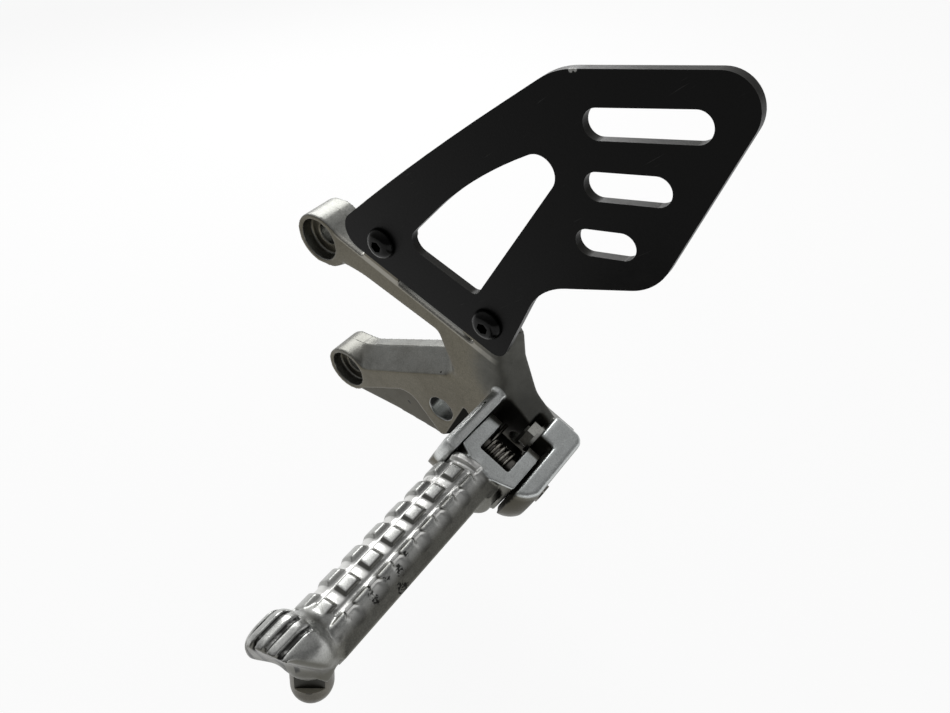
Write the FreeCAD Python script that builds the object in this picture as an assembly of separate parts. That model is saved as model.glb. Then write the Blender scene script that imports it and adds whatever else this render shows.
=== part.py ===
import FreeCAD, Part
import math
import os

V = FreeCAD.Vector
os.makedirs("parts", exist_ok=True)

# Frame: X to the rear, Y inboard, Z up along the two frame bolts.
# The origin is on the upper frame bolt's axis, on the inboard mounting face.

# frame bosses
bolt_pitch = 70.0
boss_r = 11.2
boss_len = 16.0
cbore_r = 9.0
cbore_depth = 5.5
bolt_hole_r = 4.5

# casting section: the outboard face is narrower than the parting level
face_y = -boss_len
part_y = -6.5
grow = 7.8

# arms on the outboard face: a point of each edge line and its slope
arm_start = 2.0
up_top_a = (18.2, 3.0)
up_top_slope = -0.4163
up_low_a = (17.9, -6.7)
up_low_slope = -0.351
low_top_a = (16.8, 7.6)
low_top_slope = 0.429
low_low_a = (8.0, -7.5)
low_low_slope = 0.48

# lever pivot lug
lug_x = 55.6
lug_dz = 4.5
lug_hole_r = 6.0

# hinge: its line dips to the rear by the tilt; p runs along it, q square to it
tilt = 27.5
fork_mid = 110.85
fork_w = 24.1
slot_w = 13.3
fork_top = 7.5
prong_r = 10.5
pivot_y = face_y - 16.4
pivot_q = fork_top - prong_r
slot_end_y = pivot_y - 8.4
ear_l = fork_mid - 12.6
ear_r = fork_mid + 13.4
ear_t_l = 5.4
ear_t_r = 7.1
ear_end_l = 19.0
ear_end_r = 15.8
ear_low = -13.5
web_low = -24.0
pin_r = 3.0
pin_fit = 0.06
head_r = 4.4
washer_r = 6.8
split_r = 0.6
seat_deep = 1.5
thrust_t = 0.95
blend_r = 3.0
heel_gap = 0.35
root_out = 3.0

# return spring
coil_r = 4.25
wire_r = 0.8
turns = 5
coil_pitch = 2.1

# cross bolt pocket beside the right ear
pocket_p0 = fork_mid + 0.8
pocket_p1 = ear_r - 6.8
pocket_q = -10.0
pocket_back = part_y - 3.0
root_back = part_y
bolt_y = face_y + 1.2
bolt_q = -3.5
bolt_r = 3.0

# peg tread, round its own axis
tread_r = 12.1
tread_shift = -2.55
bottom_z = -6.6
side_low = 7.4
row_n = 7
peg_len = 113.0
row_pitch = (peg_len - 39.01) / row_n
row_1 = face_y - 39.6
groove_top = 5.7
groove_low = 2.9
groove_deep = 1.55
vee_deg = 19.5
vee_deep = 2.2

# end lip and bank feeler
lip_r = 13.5
lip_z = 6.0
lip_y = face_y - peg_len
feeler_y = lip_y + 2.0
feeler_lean = 12.7
feeler_r = 6.8
boss_top_r = 10.3
seat = 5.0
bullet_len = 9.2
spanner_half = 5.0
spanner_len = 6.6
boss_low_r = 7.2
spanner_turn = 39.0

# heel guard
guard_t = 3.0
screw_1 = (39.3, 13.2)
screw_2 = (85.4, -4.6)
screw_r = 3.0
screw_head_r = 6.0
screw_head_h = 3.4


# closed wire through corners (x, z, r) at one level y
def rounded(points, y):
    n = len(points)
    edges = []
    ends = []
    for i in range(n):
        x0, z0, r0 = points[i - 1]
        x1, z1, r1 = points[i]
        x2, z2, r2 = points[(i + 1) % n]
        a = V(x0 - x1, 0, z0 - z1).normalize()
        b = V(x2 - x1, 0, z2 - z1).normalize()
        c = V(x1, y, z1)
        if r1 <= 0:
            ends.append((c, c, None))
            continue
        half = math.acos(max(-1.0, min(1.0, a.dot(b)))) / 2.0
        d = r1 / math.tan(half)
        m = (a + b).normalize()
        top = c + m * (r1 / math.sin(half) - r1)
        ends.append((c + a * d, c + b * d, top))
    for i in range(n):
        s, e, m = ends[i]
        if m is not None:
            edges.append(Part.Arc(s, m, e).toShape())
        nxt = ends[(i + 1) % n][0]
        if (nxt - e).Length > 1e-6:
            edges.append(Part.makeLine(e, nxt))
    return Part.Wire(edges)


# corners moved outward, each side by its own distance, the radii in step
def offset(points, dists):
    n = len(points)
    s = 0.0
    for i in range(n):
        s += points[i - 1][0] * points[i][1] - points[i][0] * points[i - 1][1]
    sign = 1.0 if s > 0 else -1.0
    lines = []
    for i in range(n):
        x0, z0, _ = points[i]
        x1, z1, _ = points[(i + 1) % n]
        l = math.hypot(x1 - x0, z1 - z0)
        nx = (z1 - z0) / l * sign
        nz = -(x1 - x0) / l * sign
        lines.append((nx, nz, nx * x0 + nz * z0 + dists[i]))
    out = []
    for i in range(n):
        a = lines[i - 1]
        b = lines[i]
        det = a[0] * b[1] - a[1] * b[0]
        x = (a[2] * b[1] - a[1] * b[2]) / det
        z = (a[0] * b[2] - a[2] * b[0]) / det
        x0, z0, r0 = points[i]
        xp, zp, _ = points[i - 1]
        xn, zn, _ = points[(i + 1) % n]
        turn = ((x0 - xp) * (zn - z0) - (z0 - zp) * (xn - x0)) * sign
        d = min(dists[i - 1], dists[i])
        if r0 > 0:
            r0 = max(1.0, r0 + d) if turn > 0 else max(1.0, r0 - d)
        out.append((x, z, r0))
    return out


def prism(points, y0, y1):
    return Part.Face(rounded(points, y0)).extrude(V(0, y1 - y0, 0))


def cyl(at, axis, r, h):
    return Part.makeCylinder(r, h, at, axis)


def cyl_y(x, z, r, y0, y1):
    return Part.makeCylinder(r, y1 - y0, V(x, y0, z), V(0, 1, 0))


def cyl_p(p0, p1, y, q, r):
    return Part.makeCylinder(r, p1 - p0, V(p0, y, q), V(1, 0, 0))


def box(x0, x1, y0, y1, z0, z1):
    return Part.makeBox(x1 - x0, y1 - y0, z1 - z0, V(x0, y0, z0))


# solid from corners (y, q) across a span of p, in the hinge's own frame
def slab(corners, p0, p1):
    pts = [V(p0, y, q) for y, q in corners]
    return Part.Face(Part.makePolygon(pts + [pts[0]])).extrude(V(p1 - p0, 0, 0))


def tilted(shape):
    s = shape.copy()
    s.rotate(V(0, 0, 0), V(0, 1, 0), tilt)
    return s


def hinge_xz(p, q):
    t = math.radians(tilt)
    return (p * math.cos(t) + q * math.sin(t), -p * math.sin(t) + q * math.cos(t))


def line_z(anchor, slope, x, dz=0.0):
    return anchor[1] + dz + slope * (x - anchor[0])


def mid(e):
    return e.valueAt((e.FirstParameter + e.LastParameter) / 2.0)


def save(shape, name):
    shape.exportStep("parts/" + name + ".step")


# hanger casting: arms, hub and web as one drafted outline
z2 = -bolt_pitch
web_top = fork_top - 4.6
outline = [
    (arm_start, line_z(up_top_a, up_top_slope, arm_start), 0),
    (arm_start, line_z(up_low_a, up_low_slope, arm_start), 0),
    (59.2, line_z(up_low_a, up_low_slope, 59.2), 4.0),
    (66.0, line_z(low_top_a, low_top_slope, 66.0, z2), 4.0),
    (arm_start, line_z(low_top_a, low_top_slope, arm_start, z2), 0),
    (arm_start, line_z(low_low_a, low_low_slope, arm_start, z2), 0),
    (lug_x - 17.8, line_z(low_low_a, low_low_slope, lug_x - 17.8, z2), 9.0),
    (lug_x - 1.0, z2 - 13.0, 1.8),
    (lug_x + 12.4, z2 + 13.2, 1.2),
    hinge_xz(ear_l - 2.0, web_low) + (3.0,),
    hinge_xz(ear_r + 3.0, web_low + 6.0) + (4.0,),
    hinge_xz(ear_r + 4.6, web_top + 0.4) + (4.0,),
    hinge_xz(pocket_p0, web_top) + (0,),
    (90.9, -38.8, 14.0),
    (87.2, -26.0, 0),
    (86.4, -14.0, 0),
    (78.0, -14.5, 0),
    (78.0, line_z(up_top_a, up_top_slope, 78.0), 3.0),
]
dists = [grow] * len(outline)
for i, d in ((0, 0.0), (4, 0.0), (5, 1.0), (6, 3.0), (7, 5.5), (8, 0.0), (9, 0.0), (10, 0.4), (11, 0.4),
             (12, 3.2), (13, 6.0), (14, 6.0), (15, 0.0), (16, 0.0), (17, 1.3)):
    dists[i] = d
wide = offset(outline, dists)
for i, d in ((1, 6.8), (2, 6.8), (3, 6.8), (5, 0.6), (6, 2.4), (7, 6.5), (8, -0.5), (9, -1.0), (10, -2.0),
             (11, -5.0), (12, -5.0), (13, -2.0), (14, -2.0), (17, 0.8)):
    dists[i] = d
back = offset(outline, dists)
hanger = Part.makeLoft([rounded(outline, face_y), rounded(wide, part_y)], True, True)
hanger = hanger.fuse(Part.makeLoft([rounded(wide, part_y), rounded(back, 0.0)], True, True))

adds = []
for z in (0.0, z2):
    adds.append(cyl_y(0, z, boss_r, face_y, 0.0))

# screw lugs rise from the upper arm behind the guard
arm_dir = math.atan(up_top_slope)
for sx, sz in (screw_1, screw_2):
    lug = []
    for u, w in ((-7.0, 0.0), (-9.0, -17.0), (9.0, -17.0), (7.0, 0.0)):
        lug.append((sx + u * math.cos(arm_dir) - w * math.sin(arm_dir),
                    sz + u * math.sin(arm_dir) + w * math.cos(arm_dir), 0))
    adds.append(prism(lug, face_y, part_y))
    adds.append(cyl_y(sx, sz, 7.0, face_y, part_y))

# rear rib along the lower edge
rib = [(-7.0, z2 - 8.0, 0), (-3.0, z2 - 16.6, 6.0), (22.0, z2 - 16.8, 30.0), (lug_x - 17.6, z2 - 18.2, 30.0),
       (lug_x - 5.1, z2 - 19.6, 2.0), (lug_x + 2.4, z2 - 9.0, 0), (lug_x - 15.6, z2 + 8.0, 0),
       (10.0, z2 + 2.0, 0)]
adds.append(prism(rib, face_y + 5.5, 0.0))

# clevis ears
l_out = ear_l - ear_t_l
r_out = ear_r + ear_t_r


# side view of an ear (y, q): flat top, end rounded about the pin
def ear_side(end_r):
    side = [(face_y + 6.0, ear_low), (face_y + 6.0, fork_top - 6.0), (face_y, fork_top)]
    first = math.degrees(math.asin((fork_top - pivot_q) / end_r))
    last = -math.degrees(math.asin((pivot_q - ear_low) / end_r * 0.8))
    for k in range(9):
        a = math.radians(first + (last - first) * k / 8)
        side.append((pivot_y - end_r * math.cos(a), pivot_q + end_r * math.sin(a)))
    side.append((pivot_y - end_r * 0.62, ear_low))
    return side


left_ear = slab(ear_side(ear_end_l), l_out, ear_l)
picked = []
for e in left_ear.Edges:
    m = mid(e)
    if abs(m.x - l_out) < 0.01 and m.z > pivot_q and m.y < face_y:
        picked.append(e)
left_ear = left_ear.makeFillet(2.6, picked)
# its top runs into the arm's face by a hollow corner
hollow = [(face_y + 0.5, fork_top - 0.5), (face_y - blend_r, fork_top - 0.5)]
for k in range(7):
    a = math.radians(-90.0 + 15.0 * k)
    hollow.append((face_y + blend_r * (math.cos(a) - 1.0), fork_top + blend_r * (math.sin(a) + 1.0)))
hollow.append((face_y + 0.5, fork_top + blend_r))
hollow = slab(hollow, l_out + 1.6, ear_l - 0.9)
right_ear = slab(ear_side(ear_end_r), ear_r, r_out)
root = box(pocket_p1, r_out, face_y - root_out, root_back, ear_low, fork_top)
right_ear = right_ear.fuse(root).removeSplitter()
picked = []
for e in right_ear.Edges:
    m = mid(e)
    if abs(m.x - r_out) < 0.01 and abs(m.y - root_back) < 0.01:
        picked.append(e)
right_ear = right_ear.makeFillet(4.2, picked)
picked = []
for e in right_ear.Edges:
    m = mid(e)
    if abs(m.x - r_out) < 0.01 and m.z > pivot_q and m.y < root_back - 0.01:
        picked.append(e)
    if m.x > ear_r and m.y > root_back - 4.1 and m.z > fork_top - 0.01:
        picked.append(e)
right_ear = right_ear.makeFillet(2.2, picked)
picked = []
for e in right_ear.Edges:
    m = mid(e)
    if abs(m.x - pocket_p1) < 0.01 and m.z > fork_top - 0.01:
        picked.append(e)
right_ear = right_ear.makeFillet(1.6, picked)
# the outer corner of its end is well rounded
turn_r = ear_end_r * 0.66
arc = Part.Arc(V(ear_r, ear_end_r, 0), V(ear_r + ear_t_r * 0.62, ear_end_r * 0.87, 0), V(r_out, turn_r, 0))
edges = [arc.toShape(), Part.makeLine(V(r_out, turn_r, 0), V(r_out, 0, 0)),
         Part.makeLine(V(r_out, 0, 0), V(ear_r, 0, 0)), Part.makeLine(V(ear_r, 0, 0), V(ear_r, ear_end_r, 0))]
dome = Part.Face(Part.Wire(edges)).revolve(V(0, 0, 0), V(1, 0, 0), 360)
dome.translate(V(0, pivot_y, pivot_q))
trim = box(ear_r, r_out + 1.0, pivot_y - 30.0, pivot_y, pivot_q - 30.0, pivot_q + 30.0).cut(dome)
right_ear = right_ear.cut(trim)
# thrust face round the pin on its inner side
thrust = cyl_p(ear_r - thrust_t, ear_r + 0.5, pivot_y, pivot_q, ear_end_r - 1.6)
thrust_to = face_y - root_out
thrust = thrust.common(box(ear_r - 5.0, ear_r + 5.0, pivot_y - 30.0, thrust_to, ear_low, fork_top - 3.2))
adds += [tilted(left_ear), tilted(right_ear), tilted(hollow), tilted(thrust)]
hanger = hanger.multiFuse(adds)

cuts = []
for z in (0.0, z2):
    cuts.append(cyl_y(0, z, cbore_r, face_y - 1.0, face_y + cbore_depth))
    cuts.append(cyl_y(0, z, bolt_hole_r, face_y - 1.0, 1.0))
for sx, sz in (screw_1, screw_2):
    cuts.append(cyl_y(sx, sz, screw_r, face_y - 1.0, face_y + 9.0))
cuts.append(cyl_y(lug_x, z2 + lug_dz, lug_hole_r, face_y - 1.0, 1.0))
hole_x, hole_z = hinge_xz(fork_mid + 0.4, pivot_q - 7.3)
cuts.append(cyl_y(hole_x, hole_z, 3.2, face_y - 1.0, 1.0))
cuts.append(tilted(box(pocket_p0, pocket_p1, face_y - 4.0, pocket_back, pocket_q, fork_top + 9.0)))
between = box(ear_l, ear_r, face_y - 40.0, face_y, web_low - 5.0, fork_top + 12.0)
between = between.cut(box(pocket_p1, ear_r, face_y - root_out, face_y + 1.0, web_low - 6.0, fork_top + 13.0))
cuts.append(tilted(between.cut(thrust)))
cuts.append(tilted(cyl_p(l_out - 1.0, r_out + 1.0, pivot_y, pivot_q, pin_r + pin_fit)))
cuts.append(tilted(cyl_p(l_out - 1.0, l_out + 2.2, pivot_y, pivot_q, head_r + 0.15)))
cuts.append(tilted(cyl_p(r_out - seat_deep, r_out + 1.0, pivot_y, pivot_q, washer_r + 0.4)))
cuts.append(tilted(cyl_p(pocket_p1 - 1.0, r_out - 1.5, bolt_y, bolt_q, bolt_r)))
hanger = hanger.cut(cuts[0].multiFuse(cuts[1:]))
hanger = hanger.removeSplitter()
save(hanger, "hanger_casting")

# heel guard plate
plate = [(14.0, 11.7, 8.0), (60.1, 50.9, 1250.0), (111.1, 88.5, 24.0), (169.4, 98.1, 9.4),
         (145.4, 32.4, 17.0), (106.9, 19.0, 22.0), (90.8, -19.25, 5.0)]
guard = prism(plate, face_y - guard_t, face_y)
window = [(50.4, 17.4, 5.4), (81.1, 5.6, 3.2), (122.7, 74.4, 5.8), (82.4, 51.2, 158.0)]
cuts = [prism(window, face_y - guard_t - 1.0, face_y + 1.0)]
for sx, sz, sl in ((137.17, 79.01, 35.1), (133.74, 60.84, 25.8), (128.66, 42.15, 19.3)):
    t = math.radians(10.6)
    h = 4.31
    pts = []
    for u, w in ((-sl / 2, -h), (sl / 2, -h), (sl / 2, h), (-sl / 2, h)):
        pts.append((sx + u * math.cos(t) - w * math.sin(t), sz + u * math.sin(t) + w * math.cos(t), h - 0.01))
    cuts.append(prism(pts, face_y - guard_t - 1.0, face_y + 1.0))
for sx, sz in (screw_1, screw_2):
    cuts.append(cyl_y(sx, sz, screw_r + 0.3, face_y - guard_t - 1.0, face_y + 1.0))
guard = guard.cut(cuts[0].multiFuse(cuts[1:]))
save(guard, "heel_guard")

# guard screws: domed heads with a hexagon socket
screws = []
top_y = face_y - guard_t
for sx, sz in (screw_1, screw_2):
    a = V(sx, top_y, sz)
    prof = [V(0, top_y - screw_head_h, 0), V(screw_head_r * 0.42, top_y - screw_head_h, 0)]
    crown = V(screw_head_r * 0.82, top_y - screw_head_h * 0.74, 0)
    arc = Part.Arc(prof[1], crown, V(screw_head_r, top_y - 0.5, 0))
    wire = Part.Wire([
        Part.makeLine(prof[0], prof[1]), arc.toShape(),
        Part.makeLine(V(screw_head_r, top_y - 0.5, 0), V(screw_head_r, top_y, 0)),
        Part.makeLine(V(screw_head_r, top_y, 0), V(screw_r, top_y, 0)),
        Part.makeLine(V(screw_r, top_y, 0), V(screw_r, face_y + 8.0, 0)),
        Part.makeLine(V(screw_r, face_y + 8.0, 0), V(0, face_y + 8.0, 0)),
        Part.makeLine(V(0, face_y + 8.0, 0), prof[0])])
    s = Part.Face(wire).revolve(V(0, 0, 0), V(0, 1, 0), 360)
    hexa = []
    for k in range(6):
        t = math.radians(60 * k + 12)
        hexa.append(V(2.31 * math.cos(t), top_y - screw_head_h - 1.0, 2.31 * math.sin(t)))
    socket = Part.Face(Part.makePolygon(hexa + [hexa[0]])).extrude(V(0, 3.2, 0))
    s = s.cut(socket)
    s.translate(V(sx, 0, sz))
    screws.append(s)
save(Part.makeCompound(screws), "guard_screws")

# footpeg: fork, neck, tread, lip and feeler boss in one casting
px0, pz0 = hinge_xz(fork_mid + tread_shift, pivot_q)
f0 = fork_mid - fork_w / 2
f1 = fork_mid + fork_w / 2
fork_y = face_y - 28.4
fork_low = pivot_q - prong_r
slot_floor = pivot_q - 8.0
plan = [V(f0, pivot_y, fork_low), V(f0, fork_y, fork_low), V(fork_mid - 3.0, fork_y - 3.7, fork_low),
        V(fork_mid + 3.0, fork_y - 3.7, fork_low), V(f1, fork_y, fork_low), V(f1, pivot_y, fork_low)]
fork = Part.Face(Part.makePolygon(plan + [plan[0]])).extrude(V(0, 0, 2 * prong_r))
fork = fork.fuse(cyl_p(f0, f1, pivot_y, pivot_q, prong_r))
heel = box(f0, f1, pivot_y, face_y - heel_gap, fork_low, pivot_q - 7.0)
beside = box(pocket_p1 - 0.5, f1 + 1.0, face_y - root_out - heel_gap, face_y + 1.0, fork_low - 1.0, fork_top)
fork = fork.fuse(heel.cut(beside))
s0 = fork_mid - slot_w / 2
s1 = fork_mid + slot_w / 2
fork = fork.cut(box(s0, s1, slot_end_y, face_y + 1.0, slot_floor, fork_top + 1.0))
fork = fork.cut(box(s0, s1, face_y - 1.8, face_y + 1.0, fork_low - 1.0, fork_top + 1.0))
fork = fork.cut(cyl_p(f0 - 1.0, f1 + 1.0, pivot_y, pivot_q, pin_r + pin_fit))
fork = tilted(fork)


# wire (x, z) round the peg's axis at one level y
def tread_wire(y):
    def at(deg, r=tread_r):
        t = math.radians(deg)
        return V(px0 + r * math.sin(t), y, pz0 + r * math.cos(t))
    bx = math.sqrt(tread_r ** 2 - bottom_z ** 2)
    bl = V(px0 - bx, y, pz0 + bottom_z)
    br = V(px0 + side_low, y, pz0 + bottom_z)
    return Part.Wire([
        Part.makeLine(bl, br),
        Part.makeLine(br, at(80)),
        Part.makeLine(at(80), at(33)),
        Part.Arc(at(33), at(-40), bl).toShape()])


y_collar = row_1 + row_pitch / 2 + 0.3
y_tread_end = row_1 - (row_n - 0.5) * row_pitch
y_end = lip_y + 5.0
tread = Part.Face(tread_wire(y_collar)).extrude(V(0, y_end - y_collar, 0))

cuts = []
for side in (-1, 1):
    t = math.radians(vee_deg * side)
    r = tread_r - vee_deep
    tip_v = V(px0 + r * math.sin(t), y_collar - 1.6, pz0 + r * math.cos(t))
    out = V(math.sin(t), 0, math.cos(t)) * 4.0
    across = V(math.cos(t), 0, -math.sin(t)) * 4.0
    tri = [tip_v, tip_v + out + across, tip_v + out - across]
    length = y_collar - 1.6 - y_tread_end
    cuts.append(Part.Face(Part.makePolygon(tri + [tri[0]])).extrude(V(0, -length, 0)))
lean = math.radians(-13.0)
gx = px0 - 1.87 * math.sin(lean)
gz = pz0 - 1.87 * math.cos(lean)
g_r = tread_r - groove_deep + 1.87
for k in range(row_n + 1):
    y = row_1 - (k - 0.5) * row_pitch
    w = (groove_top - groove_low) / 2 / groove_deep
    big = 8.0
    pts = [V(g_r, y - groove_low / 2, 0), V(g_r + big, y - groove_low / 2 - w * big, 0),
           V(g_r + big, y + groove_low / 2 + w * big, 0), V(g_r, y + groove_low / 2, 0)]
    ring = Part.Face(Part.makePolygon(pts + [pts[0]])).revolve(V(0, 0, 0), V(0, 1, 0), 360)
    ring.translate(V(gx, 0, gz))
    ring = ring.common(box(px0 - 30, px0 + 30, y - 30, y + 30, pz0 - 1.5, pz0 + 30))
    cuts.append(ring)
tread = tread.cut(cuts[0].multiFuse(cuts[1:]))

neck = Part.makeCone(10.2, 11.4, fork_y + 3.0 - y_collar, V(px0, fork_y + 3.0, pz0), V(0, -1, 0))
neck = neck.common(box(px0 - 30, px0 + 30, fork_y - 30, fork_y + 30, pz0 + bottom_z, pz0 + 30))
collar = Part.makeCylinder(tread_r + 0.5, 3.0, V(px0, y_collar + 3.0, pz0), V(0, -1, 0))
picked = [e for e in collar.Edges if e.Closed and abs(mid(e).y - y_collar - 3.0) < 0.01]
collar = collar.makeFillet(1.2, picked)
collar = collar.common(box(px0 - 30, px0 + 30, fork_y - 30, fork_y + 30, pz0 + bottom_z, pz0 + 30))

# the tread's flat rear side runs on to the fork, with a round knuckle under it
flank = Part.Face(tread_wire(y_collar)).extrude(V(0, fork_y + 3.0 - y_collar, 0))
flank = flank.common(box(px0 + 2.0, px0 + 30, fork_y - 30, fork_y + 30, pz0 - 30, pz0 + 7.0))
beyond = box(-30.0, 30.0, -30.0, 30.0, tread_r * math.cos(math.radians(23.5)) + 0.15, 40.0)
beyond.rotate(V(0, 0, 0), V(0, 1, 0), 56.5)
beyond.translate(V(px0, y_collar, pz0))
collar = collar.cut(beyond)
knuckle = Part.makeCylinder(12.9, 10.0, V(px0, fork_y + 1.5, pz0), V(0, -1, 0))
knuckle = knuckle.makeFillet(1.5, [e for e in knuckle.Edges if e.Closed and mid(e).y < fork_y - 5.0])
knuckle = knuckle.common(box(px0 - 30, px0 + 30, fork_y - 30, fork_y + 30, pz0 - 30, pz0 + 2.0))

# lip: a domed head round a higher axis, grooved along Y
lip_prof = [(5.6, 10.5), (7.3, 6.2), (10.8, 3.2), (12.8, 1.0), (13.5, -2.0)]
lip_end = -12.5
lip_edge = 4.1
under_lean = 27.5
under_z = 3.0


# head of revolution about the raised axis, its skin drawn in by shrink
def knob(shrink):
    pts = [V(r - shrink, lip_y + y, 0) for r, y in lip_prof]
    e_y = lip_y + lip_end + shrink
    r = lip_r - shrink
    k = lip_edge * (1 - math.sqrt(0.5))
    arc = Part.Arc(V(r, e_y + lip_edge, 0), V(r - k, e_y + k, 0), V(r - lip_edge, e_y, 0))
    edges = [Part.makeLine(V(0, pts[0].y, 0), pts[0]),
             Part.Arc(pts[0], pts[1], pts[2]).toShape(), Part.Arc(pts[2], pts[3], pts[4]).toShape(),
             Part.makeLine(pts[-1], V(r, e_y + lip_edge, 0)), arc.toShape(),
             Part.makeLine(V(r - lip_edge, e_y, 0), V(0, e_y, 0)),
             Part.makeLine(V(0, e_y, 0), V(0, pts[0].y, 0))]
    s = Part.Face(Part.Wire(edges)).revolve(V(0, 0, 0), V(0, 1, 0), 360)
    s.translate(V(px0, 0, pz0 + lip_z))
    return s


lip = knob(0.0)
inner = knob(1.0)
for k in range(-2, 2):
    x = px0 + 4.5 * k
    cutter = box(x - 0.9, x + 0.9, lip_y - 18.0, lip_y + 2.4, pz0 + lip_z - 1.0, pz0 + lip_z + 20.0)
    lip = lip.cut(cutter.cut(inner))

# the end face is swept back on the rear side, less so towards its top
ends = []
for z, y, slope in ((under_z - 0.2, -6.45, 0.543), (lip_z + lip_r + 0.6, -11.6, 0.155)):
    corners = []
    for x, dy in ((-40.0, 0.0), (40.0, 0.0), (40.0, -60.0), (-40.0, -60.0)):
        corners.append(V(px0 + x, lip_y + y + slope * x + dy, pz0 + z))
    ends.append(Part.makePolygon(corners + [corners[0]]))
lip = lip.cut(Part.makeLoft(ends, True, True))

# below the lip the end is undercut down to the feeler boss
under = box(px0 - 40, px0 + 40, -60.0, 0.0, -60.0, 60.0)
under.rotate(V(px0, 0, 0), V(1, 0, 0), under_lean)
under.translate(V(0, lip_y - 5.0, pz0 + under_z))
under = under.common(box(px0 - 40, px0 + 40, lip_y - 60, lip_y + 30, pz0 - 60, pz0 + under_z))

# feeler boss and feeler on a line leaning outboard; the tread's end keeps inside the boss
fl = math.radians(feeler_lean)
f_dir = V(0, -math.sin(fl), -math.cos(fl))
f_at = V(px0, feeler_y, pz0)
corner = box(px0 - 40, px0 + 40, feeler_y - 40.0, feeler_y, pz0 - 60, pz0 + under_z)
corner = corner.cut(cyl(f_at - f_dir * 20.0, f_dir, boss_top_r, 60.0))
lip = lip.fuse(tread).cut(under).cut(corner)
boss = Part.makeCone(boss_top_r, boss_low_r, seat, f_at, f_dir)
beyond.translate(V(0, lip_y - y_collar, 0))
boss = boss.fuse(cyl(f_at - f_dir * 8.0, f_dir, boss_top_r, 8.0).cut(beyond))
peg = fork.multiFuse([neck, collar, flank, knuckle, lip, boss])
peg = peg.cut(cyl(f_at + f_dir * (seat - 8.0), f_dir, 3.0, 20.0))
swing = tilted(cyl_p(l_out - 6.0, ear_l + 0.4, pivot_y, pivot_q, ear_end_l + 0.7))
peg = peg.cut(swing).removeSplitter()
save(peg, "footpeg")

stud = cyl(f_at + f_dir * (seat - 7.0), f_dir, 3.0, 7.0)
bullet = cyl(f_at + f_dir * seat, f_dir, feeler_r, bullet_len)
dome = Part.makeSphere(feeler_r, f_at + f_dir * (seat + bullet_len))
feeler = bullet.fuse([dome, stud])
keep = cyl(f_at + f_dir * (seat - 8.0), f_dir, feeler_r + 1.0, 24.0)
feeler = feeler.common(keep)
for y0, y1 in ((-20.0, -spanner_half), (spanner_half, 20.0)):
    flat = box(-20, 20, y0, y1, seat, seat + spanner_len)
    flat.rotate(V(0, 0, 0), V(0, 0, 1), -spanner_turn)
    flat.rotate(V(0, 0, 0), V(1, 0, 0), 180.0 - feeler_lean)
    flat.translate(f_at)
    feeler = feeler.cut(flat)
feeler = feeler.removeSplitter()
save(feeler, "bank_feeler")

# pivot pin with head, washer and split pin
washer_p = r_out - seat_deep
pin_end = washer_p + 2.6
split_p = washer_p + 1.8
pin = cyl_p(l_out + 0.2, pin_end, pivot_y, pivot_q, pin_r)
pin = pin.fuse(cyl_p(l_out + 0.2, l_out + 2.2, pivot_y, pivot_q, head_r))
pin = pin.cut(cyl(V(split_p, pivot_y, pivot_q - 10), V(0, 0, 1), split_r, 20.0))
save(tilted(pin.removeSplitter()), "pivot_pin")
washer = cyl_p(washer_p, washer_p + 1.0, pivot_y, pivot_q, washer_r)
washer = washer.cut(cyl_p(washer_p - 1, washer_p + 2, pivot_y, pivot_q, pin_r + 0.15))
save(tilted(washer), "pin_washer")
split = cyl(V(split_p, pivot_y, pivot_q - 5.2), V(0, 0, 1), split_r, 9.6)
eye = cyl(V(split_p - 0.5, pivot_y, pivot_q + 5.4), V(1, 0, 0), 1.7, 1.0)
eye = eye.cut(cyl(V(split_p - 2.0, pivot_y, pivot_q + 5.4), V(1, 0, 0), 0.8, 4.0))
save(tilted(split.fuse(eye)), "split_pin")

# return spring round the pin: one leg on the web, one on the slot floor
start_p = s0 + wire_r + 0.35
end_p = start_p + turns * coil_pitch
helix = Part.makeHelix(coil_pitch, turns * coil_pitch, coil_r, 0, True)
ring = []
for k in range(6):
    t = math.radians(60 * k + 30)
    ring.append(V(coil_r + wire_r * math.cos(t), 0, wire_r * math.sin(t)))
coil = Part.Wire(helix).makePipeShell([Part.makePolygon(ring + [ring[0]])], True, True)
coil.rotate(V(0, 0, 0), V(0, 1, 0), 90)
coil.translate(V(start_p, pivot_y, pivot_q))
low = pivot_q - coil_r
leg_in = cyl(V(start_p, pivot_y, low), V(0, 1, 0), wire_r, face_y - 0.4 - pivot_y)
leg = V(end_p, slot_end_y + 1.1, slot_floor + 0.4 + wire_r) - V(end_p, pivot_y, low)
leg_out = cyl(V(end_p, pivot_y, low), leg, wire_r, leg.Length)
save(tilted(coil.fuse([leg_in, leg_out])), "return_spring")

# cross bolt: flanged hexagon head in the pocket
hexa = []
for k in range(6):
    t = math.radians(60 * k)
    hexa.append(V(pocket_p1 - 4.7, bolt_y + 5.5 * math.cos(t), bolt_q + 5.5 * math.sin(t)))
head = Part.Face(Part.makePolygon(hexa + [hexa[0]])).extrude(V(3.4, 0, 0))
flange = cyl_p(pocket_p1 - 1.4, pocket_p1, bolt_y, bolt_q, 6.4)
head = head.fuse([flange, cyl_p(pocket_p1, r_out - 2.0, bolt_y, bolt_q, bolt_r)])
save(tilted(head.removeSplitter()), "cross_bolt")
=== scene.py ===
import math

import bpy
import numpy as np
from mathutils import Matrix, Vector


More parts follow.
